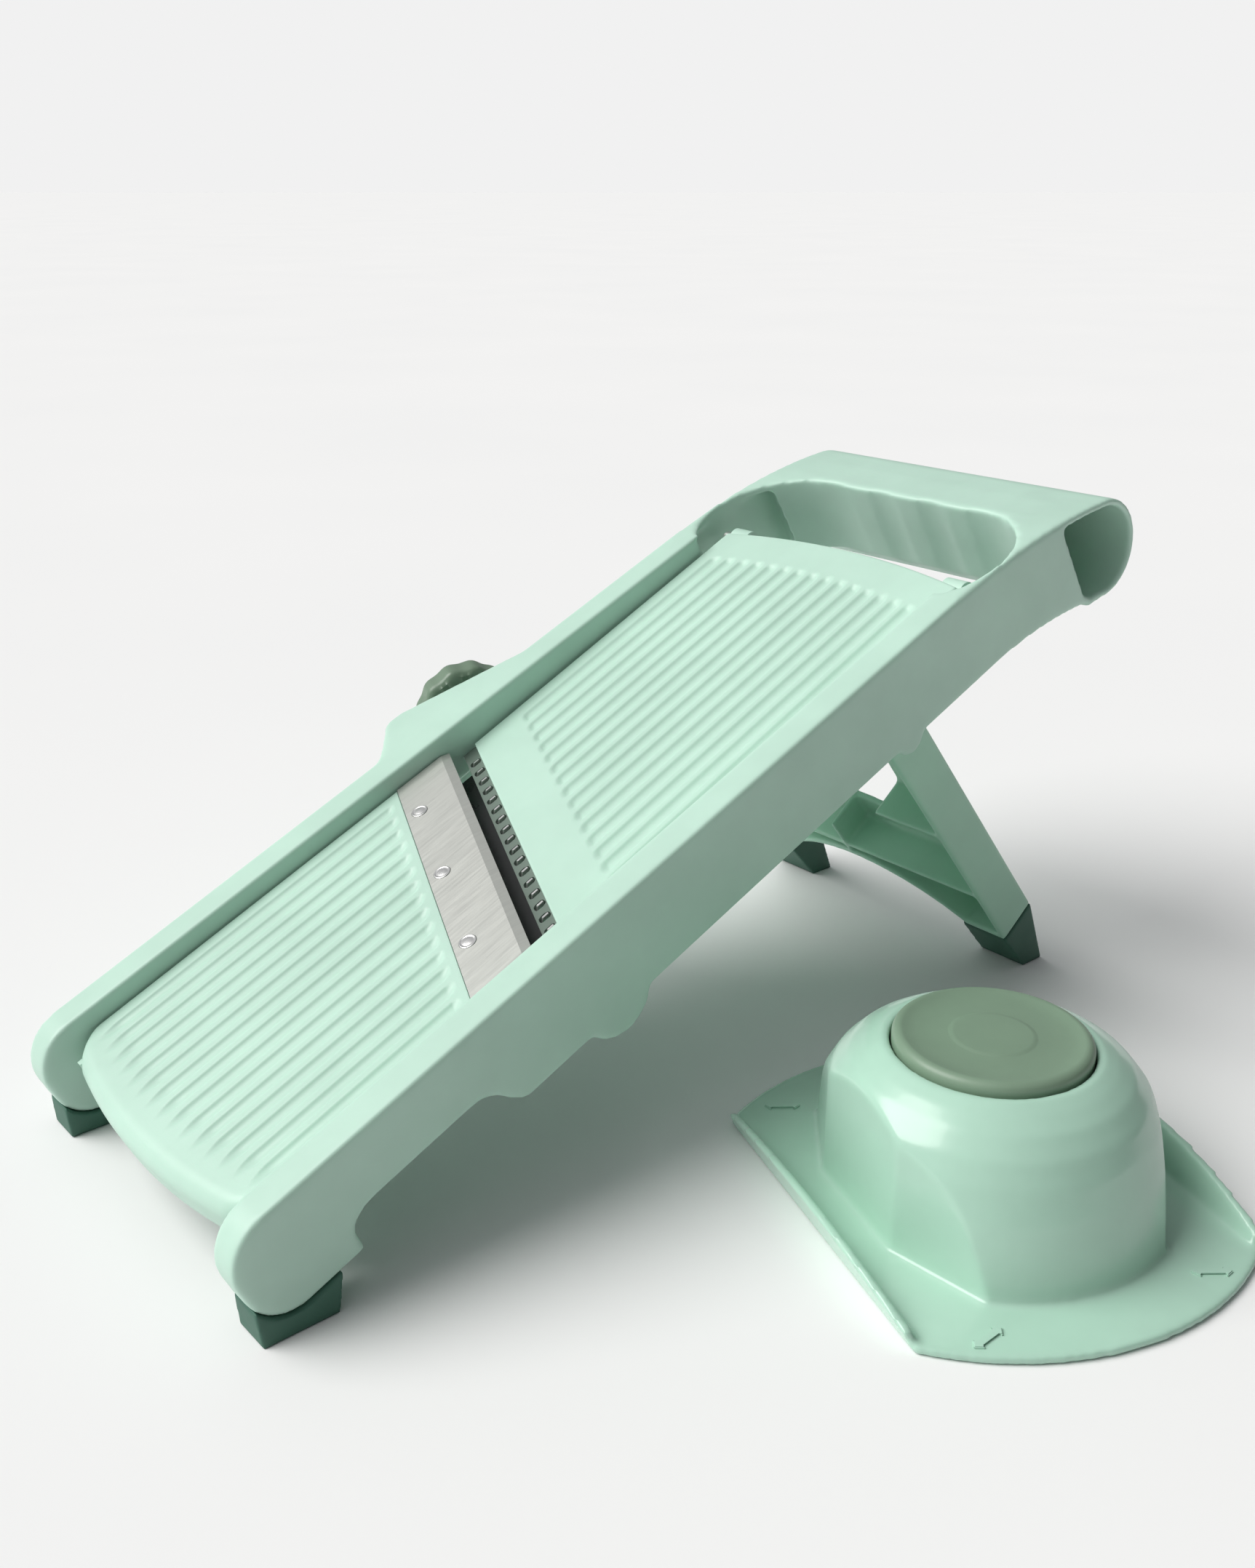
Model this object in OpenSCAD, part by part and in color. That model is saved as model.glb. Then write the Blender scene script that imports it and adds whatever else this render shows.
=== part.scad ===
// Mandoline slicer: sloping tray on a fold-out rear leg, a skewed fixed blade,
// an adjustable feed plate driven by a side dial, a julienne comb and a hand guard.
// Millimetres. +Z is up, the tray climbs along +X, the dial is on the +Y side.
// The origin is the middle of the sole of the front foot on the -Y side.

/* [Tray] */
// Outer width across both rails
tray_w = 130; // [108:1:156]
// Length along the tray, low end to back of the handle
tray_len = 372; // [320:1:446]
// Slope of the tray on its open leg, degrees
tilt = 24; // [21:0.5:26]
// Width of one rail
rail_w = 11; // [10:0.5:13]
// Height of the rail tops above the sliding surface
rail_up = 6; // [5:0.5:8]
// Depth of the side walls below the sliding surface
rail_down = 26; // [24:0.5:29]
// Moulded wall thickness
wall = 2.4; // [2:0.1:2.8]

/* [Runway and blade] */
// Distance of the cutting edge from the low end, on the centreline
blade_at = 134.2; // [120:0.5:145]
// Skew of the blade, degrees
skew = 24.5; // [15:0.5:28]
// Blade size along the tray
blade_len = 22.3; // [18:0.5:26]
// Blade thickness
blade_t = 1.2; // [0.8:0.1:1.6]
// Grooves in each plate
groove_n = 15; // [9:1:17]
// Depth of the grooves
groove_d = 0.8; // [0.4:0.1:1.1]

/* [Feed plate and comb] */
// Gap along the tray from the cutting edge to the feed plate
slot_gap = 9.9; // [9:0.1:14]
// Drop of the feed plate below the blade as it stands
rest_drop = 4.5; // [1:0.5:8]
// Number of julienne teeth
tooth_n = 18; // [8:1:18]
// Travel of the comb
comb_travel = 4; // [2:0.5:4]

/* [Dial] */
// Radius of the knob
knob_r = 18; // [15:0.5:20]
// Thickness of the knob
knob_t = 9.5; // [8:0.5:12]
// Turn of the dial towards the handle, degrees
knob_cant = 20; // [12:1:24]

/* [Leg] */
// Lean of the open leg from upright, degrees
leg_lean = 38.75; // [34:0.25:42]
// Depth of the leg frame
leg_deep = 17; // [14:0.5:17]

/* [Guard] */
// Length of the guard along its flanges
guard_len = 145; // [125:1:165]
// Height of the guard
guard_h = 50; // [44:1:62]
// Radius of the cap
cap_r = 27.5; // [22:0.5:29]
// Radius of the dome at the brim
dome_r = 54.5; // [50:0.5:57]

/* [Hidden] */
$fn = 64;
mint = [0.72, 0.88, 0.80];
sage = [0.50, 0.62, 0.53];
dark = [0.10, 0.24, 0.18];
steel = [0.80, 0.79, 0.77];
black = [0.03, 0.03, 0.03];
white = [0.86, 0.90, 0.92];

half_w = tray_w / 2;
in_w = half_w - rail_w;
deck_h = 26.3;                       // sliding surface above the table at the low end
tan_s = tan(skew);
eps = 0.01;
tube_r = 17;
tube_u = tray_len - tube_r;          // centre of the handle end
tube_n = -21;
top_u = tray_len - 92;               // where the rail tops start to curve down
feed_hinge_u = tray_len - 73;
feed_hinge_n = -5;
feed_top_u = tray_len - 70.5;        // crown of the arched feed plate edge
feed_half = in_w - 0.8;
feed_edge = blade_at + slot_gap;     // lower edge of the feed plate, on the centreline
ledge_edge = feed_edge - 5.6;
rest_turn = rest_drop / (feed_hinge_u - feed_edge) * 180 / PI;
leg_u = tray_len - 121.8;
leg_n = -23.5;
leg_half = half_w - wall - 0.4;      // outer faces of the leg frame
leg_in = in_w - 19;                  // inner faces of the leg frame
foot_in = in_w - 11;                 // inner faces of the rear feet
leg_x = leg_u * cos(tilt) - leg_n * sin(tilt);
leg_z = deck_h + leg_u * sin(tilt) + leg_n * cos(tilt);
leg_l = leg_z / cos(leg_lean);       // pivot to the table along the leg
lobe_u = leg_u - leg_l + 8;
knob_u = blade_at + 47.8;
knob_v = half_w + 11.4;
knob_n = -9.8;
front_foot_x = 16.4;
front_foot_y = half_w - 6;
pin_r = 2.5;

// Frame changes: the origin is on the near front foot
module floor_frame() translate([-front_foot_x, front_foot_y, 0]) children();
module tray() floor_frame() translate([0, 0, deck_h]) rotate([0, -tilt, 0]) children();
// Side view shapes are drawn in (along, up) and given a span across the tray
module across(v0, v1) translate([0, v1, 0]) rotate([90, 0, 0]) linear_extrude(v1 - v0) children();
module both_sides() {
  children();
  mirror([0, 1, 0]) children();
}

function bez(a, b, c, n) = [for (i = [0:n]) let (t = i / n)
  (1 - t) * (1 - t) * a + 2 * t * (1 - t) * b + t * t * c];
function on_tube(a, r) = [tube_u + r * cos(a), tube_n + r * sin(a)];
function skew_u(u0, v) = u0 + tan_s * v;
function arch_u(v) = feed_top_u - v * v / 530;

// Outline of a side wall, with the rounded low end, the bowl notch and the handle end
module side_profile() {
  difference() {
    polygon(concat(
      [[12, rail_up]],
      bez([top_u, rail_up], [tube_u - 30, rail_up], on_tube(70, tube_r), 10),
      [[tube_u, tube_n]],
      bez(on_tube(250, tube_r), [tube_u - 30, -rail_down - 1], [tube_u - 59, -rail_down], 8),
      [[10.5, -rail_down]]));
    polygon([[28.5, -rail_down - 1], [28.5, -19.5], [30, -17], [33, -15.4], [37, -14.5],
             [70, -14.5], [74, -15], [78, -17.5], [81, -22], [84, -25], [88, -rail_down - 1]]);
  }
  translate([12, rail_up - 14.5]) circle(14.5);
  translate([10.5, 13 - rail_down]) circle(13);
  difference() {
    translate([lobe_u, -21]) circle(12.4);
    translate([lobe_u - 20, -20]) square([40, 40]);
  }
}

// Open space inside a rail, below its top strip
module rail_cavity() {
  polygon([[3, -60], [3, -8], [8, rail_up - 5], [14, rail_up - wall], [top_u, rail_up - wall],
           [tube_u - 45, 1.8], [tube_u - 26, -0.6], [tube_u - 24, -60]]);
}

module tube_outer() {
  translate([tube_u, tube_n]) circle(tube_r);
  polygon([[tube_u - 21.4, 1.2], [tube_u - 18.8, 1.0], [tube_u - 5.1, -2], on_tube(70, tube_r),
           [tube_u, tube_n], on_tube(250, tube_r), [tube_u - 13, -36], [tube_u - 17, -30.5]]);
}

module tube_bore() {
  translate([tube_u, tube_n]) circle(tube_r - wall);
  polygon([[tube_u - 18.5, -1.7], [tube_u - 5.5, -4.4], on_tube(80, tube_r - wall),
           [tube_u, tube_n], on_tube(245, tube_r - wall), [tube_u - 11.5, -33.2],
           [tube_u - 14.2, -30]]);
}

// Rounded inner corner between a rail and the handle
module grip_corner() {
  r = 16;
  intersection() {
    translate([tube_u - 21 - r, in_w - r, -31]) difference() {
      cube([r + 4, r + 1, 40]);
      translate([0, 0, -1]) cylinder(h = 42, r = r);
    }
    across(0, half_w) side_profile();
  }
}

// Boss on the far rail that carries the dial
module dial_boss() {
  a = knob_u - 49;
  translate([0, 0, -rail_down]) linear_extrude(rail_down + rail_up)
    polygon([[a, half_w - 2], [a + 7, half_w + 1], [a + 13, half_w + 7], [a + 20, half_w + 15.2],
             [a + 24, half_w + 16.6], [a + 28, half_w + 16], [a + 72, half_w + 0],
             [a + 74, half_w - 2]]);
}

module dial_hollow() {
  a = knob_u - 49;
  translate([0, 0, -rail_down - 1]) linear_extrude(rail_down + rail_up + 1 - wall)
    polygon([[a + 9, half_w - 6], [a + 14, half_w + 4], [a + 22, half_w + 12.6],
             [a + 26, half_w + 13], [a + 56, half_w + 2.2], [a + 62, half_w - 6]]);
}

// Axis of the dial: local Z leaves the boss, local X points to the viewer's right
module dial_axis() tray() translate([knob_u, knob_v, knob_n]) rotate([0, 0, -knob_cant])
  rotate([-90, 0, 0]) rotate([0, 0, 180]) children();
module dial_axis_local() translate([knob_u, knob_v, knob_n]) rotate([0, 0, -knob_cant])
  rotate([-90, 0, 0]) rotate([0, 0, 180]) children();

module main_frame() color(mint) tray() difference() {
  union() {
    both_sides() difference() {
      across(in_w, half_w) side_profile();
      across(in_w + wall, half_w - wall) rail_cavity();
      // the folded leg lies here
      across(in_w - 1, half_w - wall) translate([92, -60]) square([tray_len - 200, 46.5]);
    }
    across(-half_w, half_w) tube_outer();
    both_sides() grip_corner();
    difference() {
      dial_boss();
      dial_hollow();
    }
    // tie under the upper end of the feed plate
    across(-in_w - 1, in_w + 1) translate([feed_hinge_u - 16, -15.5]) square([10, 3.5]);
    // tie under the low end of the runway
    across(-in_w - 1, in_w + 1) translate([24, -13]) square([wall, 8.5]);
    // seats of the feed plate pins and of the leg pins
    both_sides() translate([feed_hinge_u, in_w + 4.5, feed_hinge_n]) rotate([90, 0, 0])
      cylinder(h = 4.5, r = 4.5);
    both_sides() translate([leg_u, half_w - wall, leg_n]) rotate([-90, 0, 0])
      intersection() {
        cylinder(h = wall, r = 6.5);
        translate([-10, -10, 0]) cube([20, 20 + leg_n + rail_down + 3, wall]);
      }
    // boss of the dial shaft
    dial_axis_local() translate([0, 0, -9.2]) cylinder(h = 4, r = 5.5);
  }
  across(-half_w - 1, half_w + 1) tube_bore();
  // finger grooves in the front of the handle
  for (v = [-33, -11, 11, 33]) translate([tube_u - 46.8, v, -30])
    rotate([0, -7.9, 0]) cylinder(h = 76, r = 30.2, center = true);
  both_sides() translate([feed_hinge_u, in_w + 5, feed_hinge_n]) rotate([90, 0, 0])
    cylinder(h = 6, r = 2);
  both_sides() translate([leg_u, half_w + 1, leg_n]) rotate([90, 0, 0])
    cylinder(h = 5, r = pin_r);
  dial_axis_local() translate([0, 0, -30]) cylinder(h = 30, r = 3.05);
  // room for the cam and the clip behind the boss
  dial_axis_local() translate([0, 0, -17]) cylinder(h = 17 - 9.2, r = 7.4);
}

// Grooves run along the plate between two lines
module grooves(u0, sk0, u1, sk1, arch, half) {
  pitch = 2 * half / groove_n;
  r = 3.1;
  for (i = [0:groove_n - 1]) {
    v = -half + (i + 0.5) * pitch;
    a = u0 + sk0 * v;
    b = u1 + sk1 * v - arch * v * v / 530;
    translate([a, v, r - groove_d]) rotate([0, 90, 0]) cylinder(h = b - a, r = r);
  }
}

module runway() color(mint) tray() {
  w = in_w - 0.3;
  lip = function (v) 2.3 + v * v / 430;
  n = 24;
  difference() {
    union() {
      translate([0, 0, -3]) linear_extrude(3) polygon(concat(
        [for (i = [0:n]) let (v = -w + 4 + 2 * (w - 4) * i / n) [lip(v), v]],
        [[lip(w) + 6, w], [skew_u(blade_at - blade_len, w), w],
         [skew_u(blade_at - blade_len, -w), -w], [lip(w) + 6, -w]]));
      // lip turned down at the low end
      translate([0, 0, -11]) linear_extrude(9) polygon(concat(
        [for (i = [0:n]) let (v = -w + 4 + 2 * (w - 4) * i / n) [lip(v), v]],
        [for (i = [0:n]) let (v = w - 4 - 2 * (w - 4) * i / n) [lip(v) + 3, v]]));
      // seat under the blade
      translate([0, 0, -4.4]) linear_extrude(4.35 - blade_t) polygon([
        [skew_u(blade_at - blade_len - 5, w), w], [skew_u(blade_at - 3, w), w],
        [skew_u(blade_at - 3, -w), -w], [skew_u(blade_at - blade_len - 5, -w), -w]]);
      for (v = [-w + 6, -18, 18, w - 6]) across(v - 1, v + 1)
        polygon([[8, -2.5], [8, -8], [skew_u(blade_at - blade_len, v) - 2, -8],
                 [skew_u(blade_at - blade_len, v), -2.5]]);
    }
    across(-in_w, in_w) translate([23.9, -14]) square([wall + 0.2, 9.6]);
    grooves(14, 0, blade_at - blade_len - 2, tan_s, 0, w - 4);
    blade_holes(2.8);
  }
}

module blade_holes(r) {
  for (v = [-29, 3.5, 36]) translate([skew_u(blade_at - 17.3, v), v, -10]) cylinder(h = 20, r = r);
}

module blade() color(steel) tray() difference() {
  intersection() {
    translate([blade_at, 0, 0]) rotate([0, 0, -skew]) across(-90, 90)
      polygon([[-blade_len * cos(skew), -blade_t], [-blade_len * cos(skew), 0], [-3, 0],
               [0, 0.15 - blade_t], [0, -blade_t]]);
    translate([0, -in_w + 0.6, -5]) cube([tray_len, 2 * in_w - 1.2, 10]);
  }
  blade_holes(2.8);
}

module blade_rivets() color(steel) tray()
  for (v = [-29, 3.5, 36]) translate([skew_u(blade_at - 17.3, v), v, 0]) {
    translate([0, 0, -5.4]) cylinder(h = 5.7, r = 2.75);
    translate([0, 0, -5.4]) cylinder(h = 0.95, r = 4);
  }

// The feed plate and the comb are drawn level, then turned about the feed hinge
module feed_pose() tray() translate([feed_hinge_u, 0, feed_hinge_n]) rotate([0, -rest_turn, 0])
  translate([-feed_hinge_u, 0, -feed_hinge_n]) children();

function tooth_v(i) = (i - (tooth_n - 1) / 2) * (2 * in_w - 11) / tooth_n;

module feed_plate() color(mint) feed_pose() {
  w = feed_half;
  n = 20;
  difference() {
    union() {
      translate([0, 0, -2.5]) linear_extrude(2.5) polygon(concat(
        [[skew_u(feed_edge, -w), -w]],
        [for (i = [0:n]) let (v = -w + 2 * w * i / n) [arch_u(v), v]],
        [[skew_u(feed_edge, w), w]]));
      // slotted ledge along the lower edge
      translate([0, 0, -3.3]) linear_extrude(1.7) polygon([
        [skew_u(ledge_edge, -w), -w], [skew_u(feed_edge + 4, -w), -w],
        [skew_u(feed_edge + 4, w), w], [skew_u(ledge_edge, w), w]]);
      for (s = [-1, 1]) across(s * (w - 3) - 1, s * (w - 3) + 1)
        polygon([[skew_u(feed_edge + 8, s * w), -2], [skew_u(feed_edge + 12, s * w), -5.5],
                 [feed_hinge_u, -5.5], [feed_hinge_u, -2]]);
      both_sides() translate([feed_hinge_u, w, feed_hinge_n]) rotate([90, 0, 0])
        cylinder(h = 8, r = 4);
    }
    grooves(feed_edge + 21, tan_s, feed_top_u - 16, 0, 1, w - 5);
    for (i = [0:tooth_n - 1]) translate([skew_u(feed_edge - 2.6, tooth_v(i)), tooth_v(i), -3])
      cube([3.9, 2.4, 8], center = true);
    both_sides() translate([feed_hinge_u, w + 1, feed_hinge_n]) rotate([90, 0, 0])
      cylinder(h = 10, r = 2.05);
  }
}

module feed_pins() color(steel) tray() both_sides()
  translate([feed_hinge_u, in_w + 4.4, feed_hinge_n]) rotate([90, 0, 0]) cylinder(h = 12, r = 2);

// The carrier reaches under the slot in front of the blade, as a shelf that slopes with the tray
module comb_carrier() color(black) feed_pose() {
  w = in_w - 4;
  top = -3.5 - comb_travel;
  low = blade_at - 1.8;
  translate([0, 0, top - 1.4]) linear_extrude(1.4) polygon([
    [skew_u(low, -w), -w], [skew_u(feed_edge - 0.4, -w), -w],
    [skew_u(feed_edge - 0.4, w), w], [skew_u(low, w), w]]);
}

module comb_teeth() color(steel) feed_pose()
  for (i = [0:tooth_n - 1]) {
    bot = -3.5 - comb_travel;
    translate([skew_u(feed_edge - 2.6, tooth_v(i)), tooth_v(i), 0]) across(-0.35, 0.35)
      polygon([[-1.5, bot], [-1.5, -2.6], [-0.7, -1.2], [1.5, -1.2], [1.5, bot]]);
  }

module adjust_knob() color(sage) dial_axis() difference() {
  union() {
    cylinder(h = knob_t, r = knob_r - 0.6);
    translate([0, 0, 1.2]) cylinder(h = knob_t - 2.4, r = knob_r);
  }
  // shallow grips around the rim
  for (i = [0:11]) rotate([0, 0, 30 * i + 15]) translate([knob_r + 4.2, 0, -1])
    cylinder(h = knob_t + 2, r = 5, $fn = 48);
  // recess of the printed face
  translate([0, 0, knob_t - 2]) cylinder(h = 3, r = 0.8 * knob_r + 0.1);
  // hollow back
  difference() {
    translate([0, 0, -1]) cylinder(h = knob_t - 3.5, r = knob_r - 3);
    translate([0, 0, -2]) cylinder(h = knob_t, r = 5);
  }
  translate([0, 0, -1]) cylinder(h = knob_t - 3, r = 3);
}

module dial_face() color(black) dial_axis() translate([0, 0, knob_t - 1.95]) {
  cylinder(h = 1.7, r = 0.8 * knob_r - 0.3);
  translate([0, 0, 1.7 - eps]) cylinder(h = 0.5, r1 = 0.8 * knob_r - 0.3, r2 = 0.8 * knob_r - 1);
}

line_w = 0.033 * knob_r;
module print_ring(r0, r1) difference() {
  cylinder(h = 0.12, r = r1 * knob_r);
  translate([0, 0, -1]) cylinder(h = 2, r = r0 * knob_r);
}
module tick(a, r0, r1, t) rotate([0, 0, -a]) translate([r0 * knob_r, -t / 2, 0])
  cube([(r1 - r0) * knob_r, t, 0.12]);

// Clockwise degrees from three o'clock: nine millimetre steps, then two comb settings
module dial_print() color(white) dial_axis() translate([0, 0, knob_t + 0.25]) {
  print_ring(0.66, 0.727);
  print_ring(0.44, 0.47);
  for (i = [0:9]) tick(15 * i, i % 3 == 0 ? 0.4 : 0.385, i % 3 == 0 ? 0.5 : 0.455, line_w);
  for (a = [211, 293.5]) tick(a, 0.4, 0.5, line_w);
  // line between the two halves of the scale
  rotate([0, 0, 21]) translate([-0.7 * knob_r, 0.016 * knob_r - line_w / 2, 0])
    cube([1.4 * knob_r, line_w, 0.12]);
}

module knob_shaft() color(black) dial_axis() {
  translate([0, 0, -9.9]) cylinder(h = knob_t + 5.8, r = 3);
  // cam behind the boss
  translate([1.5, 0, -11.9]) cylinder(h = 2, r = 5);
}

module shaft_clip() color(steel) dial_axis() translate([0, 0, -12.9]) difference() {
  cylinder(h = 0.9, r = 3.6);
  translate([0, 0, -1]) cylinder(h = 3, r = 1.2);
}

// The leg frame hangs down -Z from its hinge, then leans back
module leg_pose() floor_frame() translate([leg_x, 0, leg_z]) rotate([0, -leg_lean, 0]) children();
module leg_plate(x0, x1) translate([x1, 0, 0]) rotate([0, -90, 0]) linear_extrude(x1 - x0)
  children();

// Leg frame seen along its depth, drawn as (up the leg, across)
module leg_outline(g) {
  e = leg_l - 25;
  arch_r = 58;
  difference() {
    translate([-e + g, -leg_half + g]) square([e - g + 2, 2 * leg_half - 2 * g]);
    // window between the legs, open at the top
    polygon([[3, leg_in - g], [-leg_l + 66 + g * 0.7, leg_in - 4 - g],
             [-leg_l + 61 + g, leg_in - 9 - g], [-leg_l + 65 + g, 12], [-leg_l + 66 + g, 0],
             [-leg_l + 65 + g, -12], [-leg_l + 61 + g, -leg_in + 9 + g],
             [-leg_l + 66 + g * 0.7, -leg_in + 4 + g], [3, -leg_in + g]]);
    // arch under the cross web
    translate([-leg_l + 46 - arch_r + g, 0]) circle(arch_r);
  }
}

module stand_frame() color(mint) leg_pose() difference() {
  union() {
    difference() {
      leg_plate(-leg_deep / 2, leg_deep / 2) leg_outline(0);
      // hollow front, leaving ribs
      difference() {
        leg_plate(-leg_deep / 2 - 1, leg_deep / 2 - wall) leg_outline(wall);
        for (z = [0.35, 0.62]) translate([-20, -leg_half, -leg_l * z]) cube([40, 2 * leg_half, 1.6]);
        translate([-20, -0.8, -leg_l]) cube([40, 1.6, leg_l]);
      }
    }
    both_sides() translate([0, leg_half - 4, 0]) rotate([-90, 0, 0])
      cylinder(h = 4, r = leg_deep / 2);
    both_sides() translate([0, leg_in, 0]) rotate([-90, 0, 0])
      cylinder(h = wall, r = leg_deep / 2);
  }
  both_sides() translate([0, leg_half + 1, 0]) rotate([90, 0, 0]) cylinder(h = 12, r = pin_r + 0.05);
}

module stand_pins() color(mint) tray() both_sides()
  translate([leg_u, half_w - 0.2, leg_n]) rotate([90, 0, 0]) cylinder(h = 7.5, r = pin_r);

// Block under the low end of a rail; its outer face leans in to meet the side wall
module foot_front() color(dark) difference() {
  floor_frame() across(in_w - 0.6, half_w + 1)
    polygon([[4.4, 12.5], [4.7, 8], [5.4, 0], [27.4, 0], [29.3, 10], [29.3, 14]]);
  floor_frame() translate([-10, half_w + 1, 0]) rotate([5, 0, 0]) cube([60, 10, 30]);
  tray() across(in_w - 3, half_w + 3) translate([0, -0.02]) {
    side_profile();
    translate([-20, -8]) square([60, 40]);
  }
}

module foot_front_far() foot_front();
module foot_front_near() translate([0, 2 * front_foot_y, 0]) mirror([0, 1, 0]) foot_front();

module foot_rear() color(dark) {
  e = leg_l - 25;
  x0 = leg_x + e * sin(leg_lean);
  z0 = leg_z - e * cos(leg_lean);
  h = leg_deep / 2;
  c = cos(leg_lean);
  s = sin(leg_lean);
  xb = leg_x + leg_z * tan(leg_lean);
  floor_frame() across(foot_in, leg_half)
    polygon([[x0 - h * c, z0 - h * s], [xb - h * 1.15, 0], [xb + 1, 0],
             [x0 + h * c, z0 + h * s]]);
}

module foot_rear_far() foot_rear();
module foot_rear_near() translate([0, 2 * front_foot_y, 0]) mirror([0, 1, 0]) foot_rear();

// The guard stands on the table beside the tray; its length runs along local X.
// It is far enough out for the leg to swing past its brim.
end_r = 85;
guard_turn = 109.1;
guard_x = 194;
guard_y = -leg_half - 1 - end_r + (end_r - guard_len / 2) * cos(guard_turn - 90);
module guard_pose() floor_frame() translate([guard_x, guard_y, 0]) rotate([0, 0, -guard_turn])
  children();
guard_half = in_w - 1;
dome_half = guard_half - 13;
brim_t = 2.4;
shell_t = 2.2;
skirt_r = cap_r + 0.4;
seat_z = guard_h - 24;
flange_half = guard_len / 2 - end_r + sqrt(end_r * end_r - guard_half * guard_half) - 1.6;
flange_r = 190;

module brim_outline(g) intersection() {
  square([guard_len - 2 * g, 2 * guard_half - 2 * g], center = true);
  translate([guard_len / 2 - end_r, 0]) circle(end_r - g, $fn = 96);
  translate([end_r - guard_len / 2, 0]) circle(end_r - g, $fn = 96);
}

// Plan of the dome: straight sides, cut corners, round ends
module dome_outline(g) polygon([for (s = [[1, 1], [-1, 1], [-1, -1], [1, -1]])
  for (q = (s[0] * s[1] > 0 ? [0, 1, 2, 3] : [3, 2, 1, 0]))
  [s[0] * [90, 47, 19, 19][q], s[1] * ([0, 27.5, dome_half, dome_half][q]) ] -
  [s[0] * g * [0, 0.9, 0.3, 0.3][q], s[1] * g * [0, 0.6, 1, 1][q]]]);

module dome_body(g) intersection() {
  rotate_extrude($fn = 96) polygon([
    [0, g > 0 ? -1 : 0], [dome_r + 0.6 - g, g > 0 ? -1 : 0], [dome_r - g, brim_t], [dome_r - 2.2 - g, 12],
    [dome_r - 4.8 - g, 22], [dome_r - 8.2 - g, guard_h * 0.62 - g * 0.2],
    [dome_r - 11.4 - g, guard_h * 0.74 - g * 0.4], [dome_r - 16 - g * 0.8, guard_h * 0.84 - g * 0.8],
    [dome_r - 20.5 - g * 0.4, guard_h * 0.9 - g], [dome_r - 24.5, guard_h - 3 - g],
    [0, guard_h - 3 - g]]);
  translate([0, 0, -2]) linear_extrude(guard_h + 4) dome_outline(g);
}

module guard_shell() color(mint) guard_pose() difference() {
  union() {
    linear_extrude(brim_t) brim_outline(0);
    // flanges turned up along both sides, highest in the middle
    for (s = [-1, 1]) intersection() {
      translate([0, s * (guard_half - 1.4), 0.8]) rotate([s * -24, 0, 0])
        translate([-flange_half, -1.2, 0]) cube([2 * flange_half, 2.4, 14]);
      translate([0, 0, 12.6 - flange_r]) rotate([90, 0, 0])
        cylinder(h = 200, r = flange_r, center = true, $fn = 192);
      translate([0, 0, 20]) cube([200, 200, 40], center = true);
    }
    dome_body(0);
  }
  difference() {
    dome_body(shell_t);
    // guide of the cap, closed below by the spring seat
    translate([0, 0, seat_z]) cylinder(h = 60, r = skirt_r + 1.6);
  }
  translate([0, 0, seat_z + 1.6]) cylinder(h = 60, r = skirt_r);
  translate([0, 0, seat_z - 1]) cylinder(h = 10, r = 4.35);
}

module guard_cap() color(sage) guard_pose() difference() {
  union() {
    translate([0, 0, guard_h - 9]) cylinder(h = 8, r = cap_r);
    translate([0, 0, guard_h - 1]) cylinder(h = 1, r1 = cap_r, r2 = cap_r - 1.2);
  }
  translate([0, 0, guard_h - 9 - eps]) cylinder(h = 7, r = cap_r - 2);
  // shallow dish with a small central rest
  translate([0, 0, guard_h - 0.7]) difference() {
    cylinder(h = 2, r = cap_r - 3);
    translate([0, 0, -1]) cylinder(h = 1.3, r = cap_r * 0.42);
  }
}

module guard_plunger() color(mint) guard_pose() {
  translate([0, 0, seat_z - 4]) cylinder(h = guard_h - 2 - eps - seat_z + 4, r = 4);
  translate([0, 0, seat_z - 4]) cylinder(h = 2.4, r = cap_r - 1);
}

module guard_pins() color(steel) guard_pose()
  for (i = [0:8]) rotate([0, 0, 40 * i]) translate([16, 0, seat_z - 11])
    cylinder(h = 7, r1 = 0.3, r2 = 0.8, $fn = 16);

// Closed sleeve of the coil's size, between the seat and the cap
module guard_spring() color(steel) guard_pose() translate([0, 0, seat_z + 1.65]) difference() {
  cylinder(h = guard_h - 2.1 - seat_z - 1.65, r = 8.6);
  translate([0, 0, -1]) cylinder(h = guard_h, r = 7.4);
}

main_frame();
runway();
blade();
blade_rivets();
feed_plate();
feed_pins();
comb_carrier();
comb_teeth();
adjust_knob();
dial_face();
dial_print();
knob_shaft();
shaft_clip();
stand_frame();
stand_pins();
foot_front_near();
foot_front_far();
foot_rear_near();
foot_rear_far();
guard_shell();
guard_cap();
guard_plunger();
guard_pins();
guard_spring();
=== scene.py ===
"""Mandoline slicer: the looks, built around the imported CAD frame. Shapes are in millimetres."""

import math

import bmesh
import bpy
import numpy as np
from mathutils import Matrix, Vector


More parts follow.
